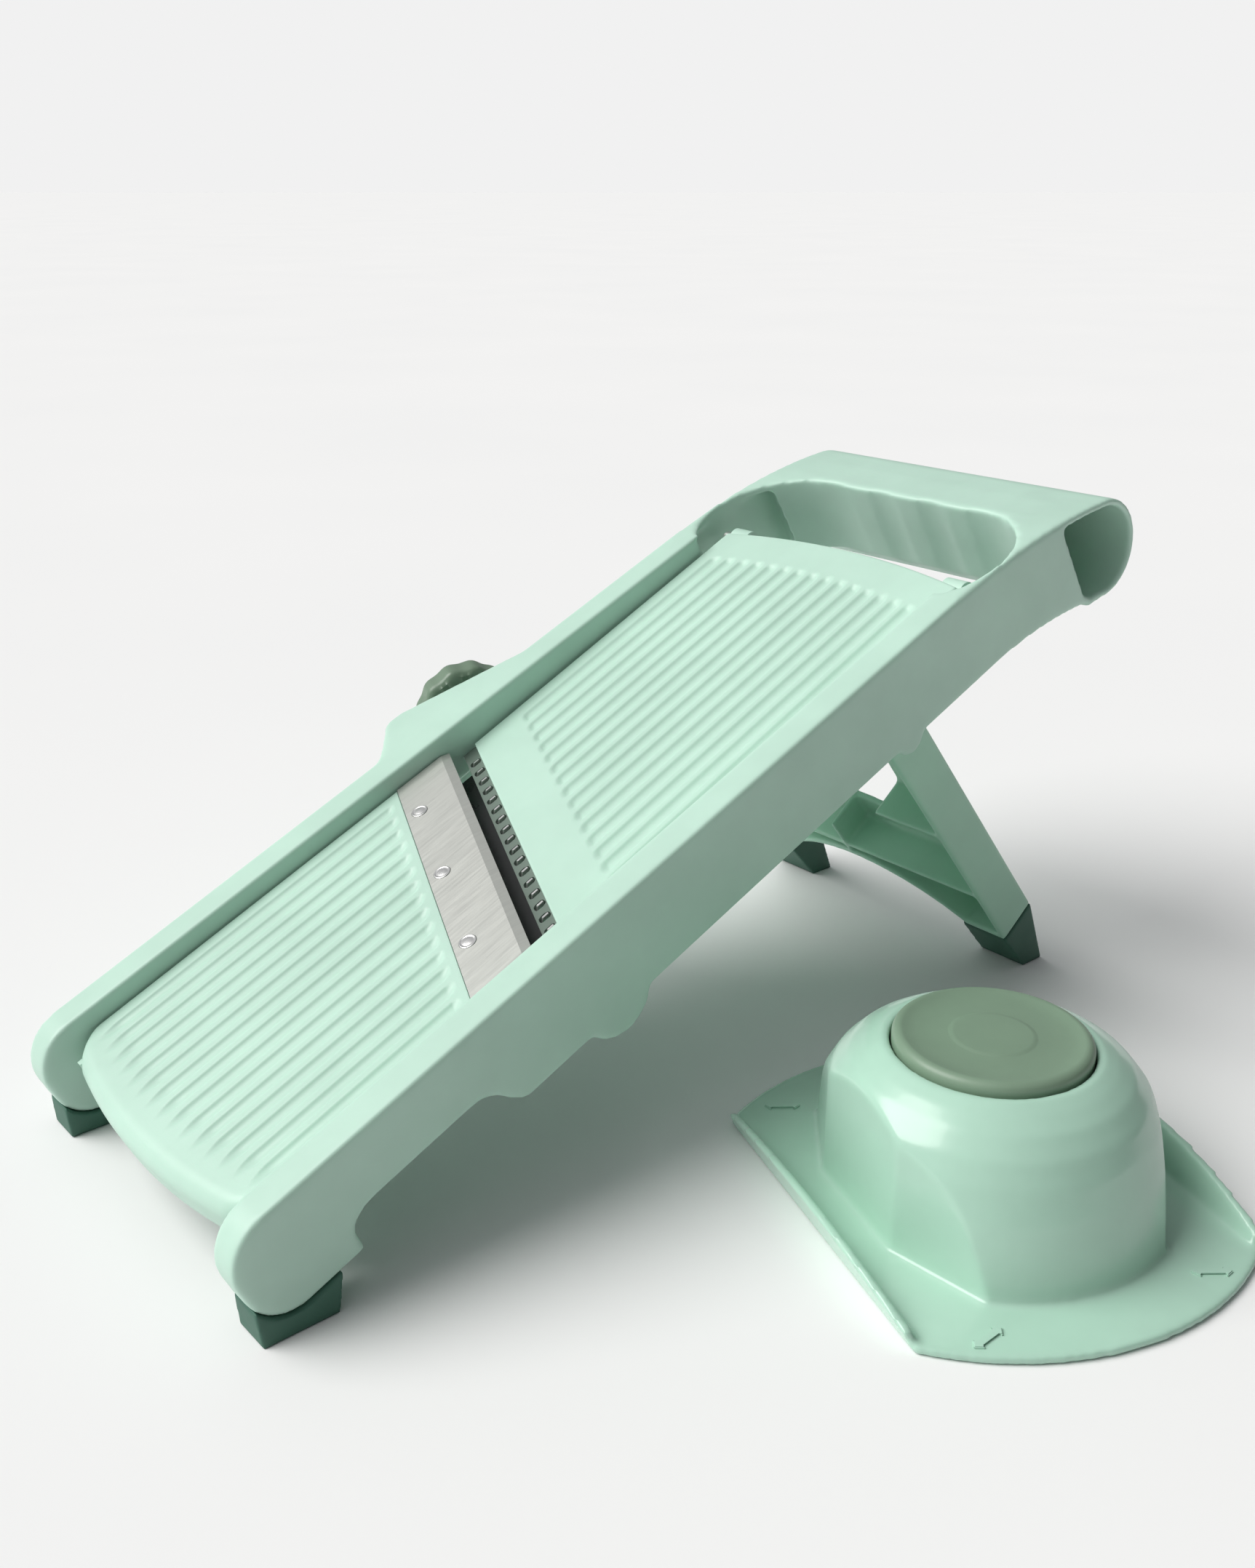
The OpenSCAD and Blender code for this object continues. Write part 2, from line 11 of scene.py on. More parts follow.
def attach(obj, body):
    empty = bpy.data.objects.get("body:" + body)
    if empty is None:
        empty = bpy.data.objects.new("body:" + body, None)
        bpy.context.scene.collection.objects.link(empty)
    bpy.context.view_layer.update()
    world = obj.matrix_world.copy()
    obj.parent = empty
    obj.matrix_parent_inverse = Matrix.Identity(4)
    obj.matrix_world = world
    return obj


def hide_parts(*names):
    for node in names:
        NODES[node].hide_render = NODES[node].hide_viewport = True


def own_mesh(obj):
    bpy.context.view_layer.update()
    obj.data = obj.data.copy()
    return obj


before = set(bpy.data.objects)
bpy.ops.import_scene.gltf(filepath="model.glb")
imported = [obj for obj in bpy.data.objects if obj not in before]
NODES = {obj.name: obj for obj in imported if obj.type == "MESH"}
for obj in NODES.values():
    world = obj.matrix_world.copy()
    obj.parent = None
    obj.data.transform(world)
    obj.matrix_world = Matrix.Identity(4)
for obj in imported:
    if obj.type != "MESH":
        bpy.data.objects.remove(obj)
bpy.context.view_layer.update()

# ---------------------------------------------------------------- sizes, in millimetres and degrees
# u runs up the tray from its low end, v across it, n away from its sliding surface
MM = 0.001
TILT = 24.0  # slope of the tray
DECK_H = 26.3  # sliding surface above the table at the low end
FOOT_X, FOOT_Y = 16.4, 59.0  # from the middle of the low end to the row's origin, on the -Y side
IN_W = 54.0  # half the width between the rails
RUNWAY_HALF = IN_W - 0.3
BLADE_AT, BLADE_LEN = 134.2, 22.3  # u of the cutting edge, and the blade's size along the tray
SKEW_TURN = math.radians(24.5)
SKEW = math.tan(SKEW_TURN)
BLADE_BACK = BLADE_AT - BLADE_LEN
FEED_EDGE, LEDGE_EDGE = 144.1, 138.5  # u of the low edges of the feed plate and of its dark strip
FEED_TOP, FEED_HALF = 301.5, 53.2
HINGE_U, HINGE_N = 299.0, -5.0
REST_TURN = 1.6645  # tilt of the feed plate as it stands
GROOVE_N, GROOVE_DEEP, GROOVE_R = 15, 0.95, 3.3
TOOTH_N = 18
TOOTH_PITCH = (2 * IN_W - 11) / TOOTH_N
RIVET_BACK, RIVETS_V = 17.3, (-29, 3.5, 36)  # behind the cutting edge, and across the tray
KNOB_AT, KNOB_CANT = (182.0, 76.4, -9.8), 20
KNOB_R, KNOB_T = 18.0, 9.5
FACE_R = 0.8 * KNOB_R
PRINT_Z, PRINT_T = KNOB_T + 0.25, 0.1
GUARD_AT, GUARD_TURN = (194.0, -136.39), 109.1
GUARD_H = 50.0
CAP_R = 27.5
SPRING_TOP, SPRING_R, SPRING_WIRE, SPRING_COILS = GUARD_H - 2.1, 8.0, 0.55, 6
LEG_X, LEG_Z, LEG_LEAN = 238.127, 106.597, 38.75


def turn(degrees, axis):
    return Matrix.Rotation(math.radians(degrees), 4, axis)


def shift(x, y, z):
    return Matrix.Translation((x, y, z))


# From local frames in millimetres to the row frame in metres
FLOOR = Matrix.Scale(MM, 4) @ shift(-FOOT_X, FOOT_Y, 0)
TRAY = FLOOR @ shift(0, 0, DECK_H) @ turn(-TILT, "Y")
FEED = TRAY @ shift(HINGE_U, 0, HINGE_N) @ turn(-REST_TURN, "Y") @ shift(-HINGE_U, 0, -HINGE_N)
DIAL = TRAY @ shift(*KNOB_AT) @ turn(-KNOB_CANT, "Z") @ turn(-90, "X") @ turn(180, "Z")
LEG = FLOOR @ shift(LEG_X, 0, LEG_Z) @ turn(-LEG_LEAN, "Y")
GUARD = FLOOR @ shift(*GUARD_AT, 0) @ turn(-GUARD_TURN, "Z")


# ---------------------------------------------------------------- materials
def new_material(name):
    mat = bpy.data.materials.new(name)
    mat.use_nodes = True
    tree = mat.node_tree
    tree.nodes.clear()
    out = tree.nodes.new("ShaderNodeOutputMaterial")
    shader = tree.nodes.new("ShaderNodeBsdfPrincipled")
    tree.links.new(shader.outputs["BSDF"], out.inputs["Surface"])
    return mat, tree, shader


def noise(tree, scale, detail, rough=0.5, stretch=None):
    where = tree.nodes.new("ShaderNodeTexCoord")
    node = tree.nodes.new("ShaderNodeTexNoise")
    node.inputs["Scale"].default_value = scale
    node.inputs["Detail"].default_value = detail
    node.inputs["Roughness"].default_value = rough
    source = where.outputs["Object"]
    if stretch:
        move = tree.nodes.new("ShaderNodeMapping")
        move.inputs["Rotation"].default_value = stretch[0]
        move.inputs["Scale"].default_value = stretch[1]
        tree.links.new(source, move.inputs["Vector"])
        source = move.outputs["Vector"]
    tree.links.new(source, node.inputs["Vector"])
    return node.outputs["Fac"]


def ramp(tree, factor, stops):
    node = tree.nodes.new("ShaderNodeValToRGB")
    band = node.color_ramp
    while len(band.elements) < len(stops):
        band.elements.new(0.5)
    for element, (at, colour) in zip(band.elements, stops):
        element.position = at
        element.color = (*colour, 1)
    tree.links.new(factor, node.inputs["Fac"])
    return node.outputs["Color"]


def spread(tree, factor, low, high):
    node = tree.nodes.new("ShaderNodeMapRange")
    node.inputs["From Min"].default_value = 0.3
    node.inputs["From Max"].default_value = 0.7
    node.inputs["To Min"].default_value = low
    node.inputs["To Max"].default_value = high
    tree.links.new(factor, node.inputs["Value"])
    return node.outputs["Result"]


def bump(tree, shader, height, strength, distance):
    node = tree.nodes.new("ShaderNodeBump")
    node.inputs["Strength"].default_value = strength
    node.inputs["Distance"].default_value = distance
    tree.links.new(height, node.inputs["Height"])
    tree.links.new(node.outputs["Normal"], shader.inputs["Normal"])


def tint(colour, k):
    return tuple(min(1.0, c * k) for c in colour)


def plastic(name, colour, rough, grain=0.12, glow=0.0, coat=0.0, vary=0.05, polish=0.055):
    """Moulded plastic: faint clouding of the colour, fine orange-peel grain, uneven polish."""
    mat, tree, shader = new_material(name)
    cloud = noise(tree, scale=26, detail=4, rough=0.6)
    colours = ramp(tree, cloud, [(0.32, tint(colour, 1 - vary)),
                                 (0.68, tint(colour, 1 + vary * 0.6))])
    tree.links.new(colours, shader.inputs["Base Color"])
    wear = noise(tree, scale=90, detail=3)
    tree.links.new(spread(tree, wear, rough - polish, rough + polish), shader.inputs["Roughness"])
    bump(tree, shader, noise(tree, scale=1500, detail=2), strength=grain, distance=0.0001)
    if glow:
        shader.inputs["Subsurface Weight"].default_value = glow
        shader.inputs["Subsurface Radius"].default_value = (0.7, 1.0, 0.8)
        shader.inputs["Subsurface Scale"].default_value = 0.003
    if coat:
        shader.inputs["Coat Weight"].default_value = coat
        shader.inputs["Coat Roughness"].default_value = 0.08
    return mat


def metal(name, colour, rough, metallic, scratch_turn, scratch_scale):
    """Ground steel with fine scratches along one direction."""
    mat, tree, shader = new_material(name)
    lines = noise(tree, scale=60, detail=6, rough=0.7, stretch=(scratch_turn, scratch_scale))
    colours = ramp(tree, lines, [(0.3, tint(colour, 0.93)), (0.7, tint(colour, 1.05))])
    tree.links.new(colours, shader.inputs["Base Color"])
    shader.inputs["Metallic"].default_value = metallic
    tree.links.new(spread(tree, lines, rough - 0.07, rough + 0.08), shader.inputs["Roughness"])
    bump(tree, shader, lines, strength=0.08, distance=0.00005)
    return mat


MINT = plastic("mint_plastic", (0.490, 0.700, 0.590), 0.42, glow=0.12)
MINT_GLOSS = plastic("mint_gloss", (0.450, 0.690, 0.560), 0.25, grain=0.02, glow=0.12,
                     coat=0.2, polish=0.01)
# painted shade: a darker, greener copy of the mint plastic for the leg, which stands in shade
MINT_LEG_SHADED = plastic("mint_leg_painted_shade", (0.400, 0.680, 0.520), 0.34, glow=0.15)
SAGE = plastic("sage_plastic", (0.205, 0.305, 0.215), 0.42, grain=0.2, vary=0.06)
# painted shade: the knob is coloured the dark grey-green it shows in shade, darker than its own
# lighter sage
KNOB_SHADED = plastic("knob_rim_painted_shade", (0.150, 0.225, 0.155), 0.40, grain=0.2, glow=0.1)
DARK = plastic("dark_rubber", (0.046, 0.140, 0.098), 0.55, grain=0.35, vary=0.15)
# painted shade: the strip is pale green, coloured dark grey-green for the shade it sits in below
# the feed plate
STRIP_SHADED = plastic("strip_painted_shade", (0.135, 0.180, 0.150), 0.40, grain=0.15, vary=0.1)
# black for the knob shaft and the comb carrier; under the gap behind the blade the carrier's black
# is painted shade
BLACK_AND_GAP_SHADE = plastic("black_plastic", (0.010, 0.011, 0.011), 0.30, grain=0.05, vary=0.2)
FACE = plastic("dial_gloss", (0.006, 0.006, 0.007), 0.14, grain=0.02, coat=0.5, vary=0.2)
PRINT = plastic("print_white", (0.640, 0.710, 0.780), 0.5, grain=0.1)
STEEL = metal("blade_steel", (0.545, 0.555, 0.520), 0.40, metallic=0.55,
              scratch_turn=(0, 0, SKEW_TURN), scratch_scale=(1, 22, 1))
PIN = metal("pin_steel", (0.66, 0.66, 0.65), 0.30, metallic=0.9,
            scratch_turn=(0, 0, 0), scratch_scale=(1, 9, 1))


# ---------------------------------------------------------------- mesh helpers
def piece(name, body, slot, material, mesh, *stands_for):
    """Registers a finished mesh as a piece of a body."""
    obj = bpy.data.objects.new(name, mesh)
    bpy.context.scene.collection.objects.link(obj)
    mesh.materials.clear()
    mesh.materials.append(material)
    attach(obj, body)
    if stands_for:
        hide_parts(*stands_for)
    return obj


def mesh_of(name, verts, faces, base, flat_above=None):
    """A closed mesh with outward normals, moved from a local frame to the row frame."""
    bm = bmesh.new()
    made = [bm.verts.new(v) for v in verts]
    for face in faces:
        bm.faces.new([made[i] for i in face])
    bmesh.ops.remove_doubles(bm, verts=bm.verts, dist=1e-5)
    return close_up(name, bm, base, flat_above)


def close_up(name, bm, base, flat_above=None):
    """Turns a bmesh into a smooth mesh in the row frame, with creases above an angle in degrees."""
    bmesh.ops.recalc_face_normals(bm, faces=bm.faces)
    bm.transform(base)
    mesh = bpy.data.meshes.new(name)
    for face in bm.faces:
        face.smooth = True
    if flat_above:
        for edge in bm.edges:
            if len(edge.link_faces) == 2 and edge.calc_face_angle(0) > math.radians(flat_above):
                edge.smooth = False
    bm.to_mesh(mesh)
    bm.free()
    return mesh


def relax(co, edges, rounds):
    """Rounds off edges: each point moves half way to the middle of its neighbours."""
    a, b = edges[:, 0], edges[:, 1]
    n = len(co)
    count = np.bincount(a, minlength=n) + np.bincount(b, minlength=n)
    count = np.maximum(count, 1)
    for _ in range(rounds):
        moved = np.empty_like(co)
        for k in range(3):
            total = (np.bincount(a, weights=co[b, k], minlength=n)
                     + np.bincount(b, weights=co[a, k], minlength=n))
            moved[:, k] = total / count
        co = co + 0.5 * (moved - co)
    return co


def moulded(name, sources, base, voxel, rounds):
    """One skin with rounded edges around CAD solids, meshed along the axes of a local frame."""
    bm = bmesh.new()
    for source in sources:
        bm.from_mesh(NODES[source].data)
    bm.transform(base.inverted())
    bmesh.ops.remove_doubles(bm, verts=bm.verts, dist=1e-4)
    raw = bpy.data.meshes.new(name + "_raw")
    bm.to_mesh(raw)
    bm.free()
    obj = bpy.data.objects.new(name + "_raw", raw)
    bpy.context.scene.collection.objects.link(obj)
    skin = obj.modifiers.new("skin", "REMESH")
    skin.mode = "VOXEL"
    skin.voxel_size = voxel
    skin.adaptivity = 0
    graph = bpy.context.evaluated_depsgraph_get()
    mesh = bpy.data.meshes.new_from_object(obj.evaluated_get(graph))
    mesh.name = name
    bpy.data.objects.remove(obj)
    bpy.data.meshes.remove(raw)
    n = len(mesh.vertices)
    co = np.empty(n * 3, np.float64)
    mesh.vertices.foreach_get("co", co)
    edges = np.empty(len(mesh.edges) * 2, np.int32)
    mesh.edges.foreach_get("vertices", edges)
    co = relax(co.reshape(-1, 3), edges.reshape(-1, 2), rounds)
    mesh.vertices.foreach_set("co", co.astype(np.float32).ravel())
    mesh.transform(base)
    mesh.polygons.foreach_set("use_smooth", np.ones(len(mesh.polygons), bool))
    mesh.update()
    return mesh


def lathe(rows, steps, radius_at=None):
    """Verts and faces of a closed turned body. A row is (radius, height[, share of the wave])."""
    verts, faces = [], []
    for radius, height, *share in rows:
        for k in range(steps):
            angle = 2 * math.pi * k / steps
            r = radius + (radius_at(angle) * share[0] if share else 0)
            verts.append((r * math.cos(angle), r * math.sin(angle), height))
    n = len(rows)
    for i in range(n):
        j = (i + 1) % n
        for k in range(steps):
            m = (k + 1) % steps
            faces.append((i * steps + k, i * steps + m, j * steps + m, j * steps + k))
    return verts, faces


def rim_round(radius, height, across, up, steps):
    """Rows of a rounded rim that starts upright at (radius, height) and turns inward."""
    turns = [math.pi / 2 * i / steps for i in range(1, steps + 1)]
    return [(radius - across * (1 - math.cos(t)), height + up * math.sin(t)) for t in turns]


def ease(x):
    """0 below 0, 1 above 1, and a smooth step between."""
    x = np.clip(x, 0, 1)
    return x * x * (3 - 2 * x)


def sheet(bm, vs, shares, low, high, top, under):
    """A closed plate over a grid: its ends follow low(v) and high(v)."""
    grids = []
    for height in (top, under):
        rows = []
        for v in vs:
            lo, hi = low(v), high(v)
            us = lo + (hi - lo) * shares
            ns = height(us, v, us - lo, hi - us)
            rows.append([bm.verts.new((u, v, n)) for u, n in zip(us, ns)])
        grids.append(rows)
    upper, lower = grids
    nv, nu = len(vs), len(shares)
    for rows, flip in ((upper, False), (lower, True)):
        for i in range(nv - 1):
            for j in range(nu - 1):
                quad = [rows[i][j], rows[i][j + 1], rows[i + 1][j + 1], rows[i + 1][j]]
                bm.faces.new(quad[::-1] if flip else quad)
    rim = ([(0, j) for j in range(nu)] + [(i, nu - 1) for i in range(1, nv)]
           + [(nv - 1, j) for j in range(nu - 2, -1, -1)] + [(i, 0) for i in range(nv - 2, 0, -1)])
    for (i, j), (k, m) in zip(rim, rim[1:] + rim[:1]):
        bm.faces.new([upper[i][j], upper[k][m], lower[k][m], lower[i][j]])


def prism(bm, outline, depth, place):
    """A straight prism: outline of 2-D points, from depth[0] to depth[1], placed by a function."""
    low = [bm.verts.new(place(x, y, depth[0])) for x, y in outline]
    top = [bm.verts.new(place(x, y, depth[1])) for x, y in outline]
    n = len(outline)
    bm.faces.new(low[::-1])
    bm.faces.new(top)
    for i in range(n):
        j = (i + 1) % n
        bm.faces.new([low[i], low[j], top[j], top[i]])


def flat(x, y, depth):
    return x, y, depth


def on_edge(x, y, depth):
    return x, depth, y


def circle(x, y, r, n):
    return [(x + r * math.cos(2 * math.pi * k / n), y + r * math.sin(2 * math.pi * k / n))
            for k in range(n)]


def placed(outline, x, y, degrees):
    """An outline turned about its own origin, then moved to (x, y)."""
    c, s = math.cos(math.radians(degrees)), math.sin(math.radians(degrees))
    return [(x + p * c - q * s, y + p * s + q * c) for p, q in outline]


def groove_cut(u, v, half, start, end, fade_low, fade_high):
    """Depth of the scalloped grooves at points along one line across the plate."""
    pitch = 2 * half / GROOVE_N
    k = np.clip(np.floor((v + half) / pitch), 0, GROOVE_N - 1)
    x = abs(v - (-half + (k + 0.5) * pitch))
    fade = ease((u - start) / fade_low) * ease((end - u) / fade_high)
    sag = GROOVE_R - np.sqrt(np.maximum(GROOVE_R ** 2 - np.minimum(x, GROOVE_R * 0.99) ** 2, 0))
    cut = GROOVE_DEEP * fade - sag
    return np.where(cut > 0, cut, 0)


def edge_fall(d, radius):
    """How far a rounded edge of that radius has fallen at distance d from it."""
    x = np.clip(radius - d, 0, radius)
    return radius - np.sqrt(np.maximum(radius ** 2 - x ** 2, 0))


def grid_steps(length, fine, ends):
    """Shares from 0 to 1, denser within ends millimetres of each end."""
    inner = np.arange(ends, length - ends, fine)
    edge = ends * np.linspace(0, 1, 9)[:-1] ** 1.6
    return np.concatenate([edge, inner, length - edge[::-1]]) / length


# ---------------------------------------------------------------- tray
piece("tray_body", "base", "mint_plastic", MINT,
      moulded("tray_body", ["main_frame", "stand_pins"], TRAY, 0.85, 7),
      "main_frame", "stand_pins")


def lip_at(v):
    """u of the low edge of the runway, which bows out and has rounded corners."""
    corner = 11.0
    over = abs(v) - (RUNWAY_HALF - corner)
    bend = corner - math.sqrt(max(corner ** 2 - over ** 2, 0)) if over > 0 else 0
    return 2.3 + v * v / 430 + bend * 0.75


def build_runway():
    """The grooved lower plate with its turned-down lip, the seat of the blade and four ribs."""
    w = RUNWAY_HALF
    thick, lip_deep, rib_half = 3.2, 7.6, 1
    seat_low, seat_high = BLADE_BACK - 5, BLADE_AT - 3
    bm = bmesh.new()

    def top(u, v, d_low, d_high):
        cut = groove_cut(u, v, w - 4, 11 + v * v / 500, BLADE_BACK - 3.2 + SKEW * v, 9, 1.6)
        fall = edge_fall(d_low, 5.5) + edge_fall(w - abs(v), 1.2) + edge_fall(d_high, 0.3)
        return -cut - fall

    def under(u, v, d_low, d_high):
        return -thick - lip_deep * (1 - ease((d_low - 2.0) / 1.6)) - 0.4 * ease(1 - d_low / 0.8)

    vs = -w + 2 * w * grid_steps(2 * w, 0.36, 2.0)
    sheet(bm, vs, grid_steps(108, 0.8, 6.0), lip_at, lambda v: BLADE_BACK - 0.1 + SKEW * v,
          top, under)
    seat = [(seat_low + SKEW * -w, -w), (seat_high + SKEW * -w, -w),
            (seat_high + SKEW * w, w), (seat_low + SKEW * w, w)]
    prism(bm, seat, (-4.4, -1.25), flat)
    for v in (-w + 6, -18, 18, w - 6):
        end = BLADE_BACK + SKEW * v
        prism(bm, [(8, -2.8), (8, -8), (end - 2, -8), (end, -2.8)],
              (v - rib_half, v + rib_half), on_edge)
    return close_up("runway_plate", bm, TRAY, 50)


piece("runway_plate", "base", "mint_plastic", MINT, build_runway(), "runway")


def build_feed():
    """The grooved upper plate with its side ribs and hinge barrels."""
    w = FEED_HALF
    thick, rib_half, barrel_r, barrel_len = 2.5, 1, 4, 8
    bm = bmesh.new()

    def high(v):
        return FEED_TOP - v * v / 530

    def top(u, v, d_low, d_high):
        cut = groove_cut(u, v, w - 5, FEED_EDGE + 20 + SKEW * v, FEED_TOP - 15 - v * v / 530,
                         1.8, 1.8)
        fall = edge_fall(d_low, 0.4) + edge_fall(w - abs(v), 1.2) + edge_fall(d_high, 1.2)
        return -cut - fall

    def under(u, v, d_low, d_high):
        return np.full_like(u, -thick)

    vs = -w + 2 * w * grid_steps(2 * w, 0.42, 2.0)
    sheet(bm, vs, grid_steps(150, 1.0, 3.0), lambda v: FEED_EDGE + SKEW * v, high, top, under)
    for s in (-1, 1):
        v = s * (w - 3)
        low = FEED_EDGE + SKEW * s * w
        prism(bm, [(low + 8, -2), (low + 12, -5.5), (HINGE_U, -5.5), (HINGE_U, -2)],
              (v - rib_half, v + rib_half), on_edge)
        prism(bm, circle(HINGE_U, HINGE_N, barrel_r, 32),
              (s * w - barrel_len * (s > 0), s * w + barrel_len * (s < 0)), on_edge)
    return close_up("feed_slide", bm, FEED, 50)


piece("feed_slide", "feed", "mint_plastic", MINT, build_feed(), "feed_plate")


def in_slot(v, s):
    """Whether a point of the dark strip lies in one of its rounded, slanting slots."""
    k = round(v / TOOTH_PITCH + (TOOTH_N - 1) / 2)
    if not 0 <= k < TOOTH_N:
        return False
    off = v - (k - (TOOTH_N - 1) / 2) * TOOTH_PITCH
    x = off / 1.35
    y = (s - 3.0 + 0.25 * off) / 2.15
    return x * x * abs(x) + y * y * abs(y) < 1 and abs(x) ** 3 + abs(y) ** 3 < 1


def build_ledge():
    """The slotted strip along the lower edge of the feed plate, coloured dark grey-green as painted
    shade.
    """
    wide, thick, cell = 5.7, 1.6, 0.28
    bm = bmesh.new()
    vs = np.arange(-FEED_HALF, FEED_HALF + 0.01, cell)
    ss = np.arange(0, wide, cell)
    rows = [[bm.verts.new((LEDGE_EDGE + s + SKEW * v, v, -1.7)) for s in ss] for v in vs]
    for i in range(len(vs) - 1):
        for j in range(len(ss) - 1):
            if not in_slot(vs[i] + cell / 2, ss[j] + cell / 2):
                bm.faces.new([rows[i][j], rows[i][j + 1], rows[i + 1][j + 1], rows[i + 1][j]])
    bmesh.ops.delete(bm, geom=[v for v in bm.verts if not v.link_faces], context="VERTS")
    # the stepped borders of the slots are drawn smooth, in two rounds
    border = [e for e in bm.edges if len(e.link_faces) == 1]
    inner = {v for e in border for v in e.verts}
    for _ in range(2):
        aim = {}
        for v in inner:
            near = [e.other_vert(v) for e in v.link_edges if len(e.link_faces) == 1]
            if len(near) == 2:
                aim[v] = (near[0].co + near[1].co) / 2
        for v, co in aim.items():
            v.co = v.co.lerp(co, 0.6)
    grown = bmesh.ops.extrude_face_region(bm, geom=list(bm.faces))
    for v in (g for g in grown["geom"] if isinstance(g, bmesh.types.BMVert)):
        v.co.z -= thick
    return close_up("feed_ledge", bm, FEED, 40)


piece("feed_ledge", "feed", "black_plastic", STRIP_SHADED, build_ledge())


# ---------------------------------------------------------------- blade and comb
def finish_node(name, material):
    """Gives a carried-over CAD node its material."""
    obj = NODES[name]
    obj.data.materials.clear()
    obj.data.materials.append(material)


def build_rivets():
    rows = [(0.02, -5.4), (4.0, -5.4), (4.0, -4.5), (2.75, -4.45), (2.75, 0.02),
            (2.68, 0.16), (2.5, 0.24), (2.25, 0.20), (2.05, 0.10), (1.8, 0.12),
            (1.3, 0.22), (0.7, 0.28), (0.02, 0.30)]
    verts, faces = lathe(rows, 40)
    bm = bmesh.new()
    for v in RIVETS_V:
        at = Vector((BLADE_AT - RIVET_BACK + SKEW * v, v, 0))
        made = [bm.verts.new(Vector(p) + at) for p in verts]
        for face in faces:
            bm.faces.new([made[i] for i in face])
    return close_up("rivet_heads", bm, TRAY, 60)


finish_node("blade", STEEL)
piece("rivet_heads", "base", "pin_steel", PIN, build_rivets(), "blade_rivets")
# painted shade: the carrier reaches under the gap behind the blade, and its black there stands for
# the shade seen through the gap
finish_node("comb_carrier", BLACK_AND_GAP_SHADE)
finish_node("comb_teeth", PIN)
finish_node("feed_pins", PIN)


# ---------------------------------------------------------------- dial
def build_knob():
    """The knob: a rim with twelve shallow grips around a sunk face."""
    def grips(angle):
        return -0.45 - 0.45 * math.cos(12 * angle - math.pi)

    bore, rim, lip, steps = 3.2, KNOB_R, FACE_R + 0.1, 6
    rows = [(bore, 0.3, 0), (rim - 2.2, 0.3, 0), (rim - 1.5, 0.5, 1), (rim - 0.5, 1.1, 1),
            (rim, 2.0, 1), (rim, 3.2, 1), (rim, 5.0, 1), (rim, 7.2, 1)]
    rows += [(r, z, 1 - 0.5 * (i + 1) / steps)
             for i, (r, z) in enumerate(rim_round(rim, 7.2, 2.0, 2.2, steps))]
    rows += [(lip + 0.9, KNOB_T - 0.02, 0), (lip + 0.4, KNOB_T - 0.15, 0),
             (lip + 0.1, KNOB_T - 0.5, 0), (lip, KNOB_T - 1.2, 0), (lip, KNOB_T - 1.97, 0),
             (bore, KNOB_T - 1.97, 0)]
    verts, faces = lathe(rows, 192, grips)
    return mesh_of("knob_body", verts, faces, DIAL, 60)


def build_face():
    """The black disc let into the knob."""
    r = FACE_R - 0.3
    z = KNOB_T - 1.95
    rows = [(0.05, z), (r, z), (r, z + 1.2)]
    rows += rim_round(r, z + 1.35, 0.75, 0.6, 5)
    rows += [(r - 1.0, z + 2.1), (r - 1.2, z + 2.19), (0.05, z + 2.19)]
    verts, faces = lathe(rows, 160)
    return mesh_of("dial_disc", verts, faces, DIAL, 35)


piece("knob_body", "dial", "sage_plastic", KNOB_SHADED, build_knob(), "adjust_knob")
piece("dial_disc", "dial", "black_plastic", FACE, build_face(), "dial_face")
finish_node("dial_print", PRINT)
finish_node("knob_shaft", BLACK_AND_GAP_SHADE)
finish_node("shaft_clip", PIN)


def dial_label(name, text, clock, radius, size):
    """Raised figures at a clockwise angle on the dial, their tops turned outward."""
    curve = bpy.data.curves.new(name, "FONT")
    curve.body = text
    curve.size = size
    curve.align_x = "CENTER"
    curve.align_y = "CENTER"
    curve.extrude = 0.05
    curve.offset = 0.012
    curve.resolution_u = 3
    obj = bpy.data.objects.new(name, curve)
    bpy.context.scene.collection.objects.link(obj)
    at = math.radians(-clock)
    place = (DIAL @ shift(radius * math.cos(at), radius * math.sin(at), PRINT_Z + 0.05)
             @ turn(-clock - 90, "Z"))
    graph = bpy.context.evaluated_depsgraph_get()
    mesh = bpy.data.meshes.new_from_object(obj.evaluated_get(graph))
    bpy.data.objects.remove(obj)
    mesh.transform(place)
    return piece(name, "dial", "print_white", PRINT, mesh)


for k, (clock, text) in enumerate([(0, "0mm"), (45, "3mm"), (90, "6mm"), (135, "9mm"),
                                   (211, "10mm"), (293.5, "4.5mm")]):
    dial_label("dial_mark_%d" % k, text, clock, 0.578 * KNOB_R, 0.105 * KNOB_R)


def arc_arrow(bm, radius, start, end, width, head):
    """A flat arrow along an arc, from start to end in degrees, in the plane of the dial face."""
    n = 16
    sign = 1 if end > start else -1
    neck = end - sign * math.degrees(head * 1.15 / radius)
    outer, inner = [], []
    for i in range(n + 1):
        a = math.radians(start + (neck - start) * i / n)
        outer.append(((radius + width / 2) * math.cos(a), (radius + width / 2) * math.sin(a)))
        inner.append(((radius - width / 2) * math.cos(a), (radius - width / 2) * math.sin(a)))
    a, b = math.radians(neck), math.radians(end)
    tip = [((radius + head / 2) * math.cos(a), (radius + head / 2) * math.sin(a)),
           (radius * math.cos(b), radius * math.sin(b)),
           ((radius - head / 2) * math.cos(a), (radius - head / 2) * math.sin(a))]
    prism(bm, outer + tip + inner[::-1], (PRINT_Z, PRINT_Z + PRINT_T), flat)


def bar(bm, x, y, length, width, tilt):
    """A small bar with round ends, for the pictograms."""
    r = width / 2
    outline = []
    for end, side in ((length / 2 - r, 1), (r - length / 2, -1)):
        for i in range(7):
            a = math.pi * (i / 6 - 0.5)
            outline.append((end + side * r * math.cos(a), side * r * math.sin(a)))
    prism(bm, placed(outline, x, y, tilt), (PRINT_Z, PRINT_Z + PRINT_T), flat)


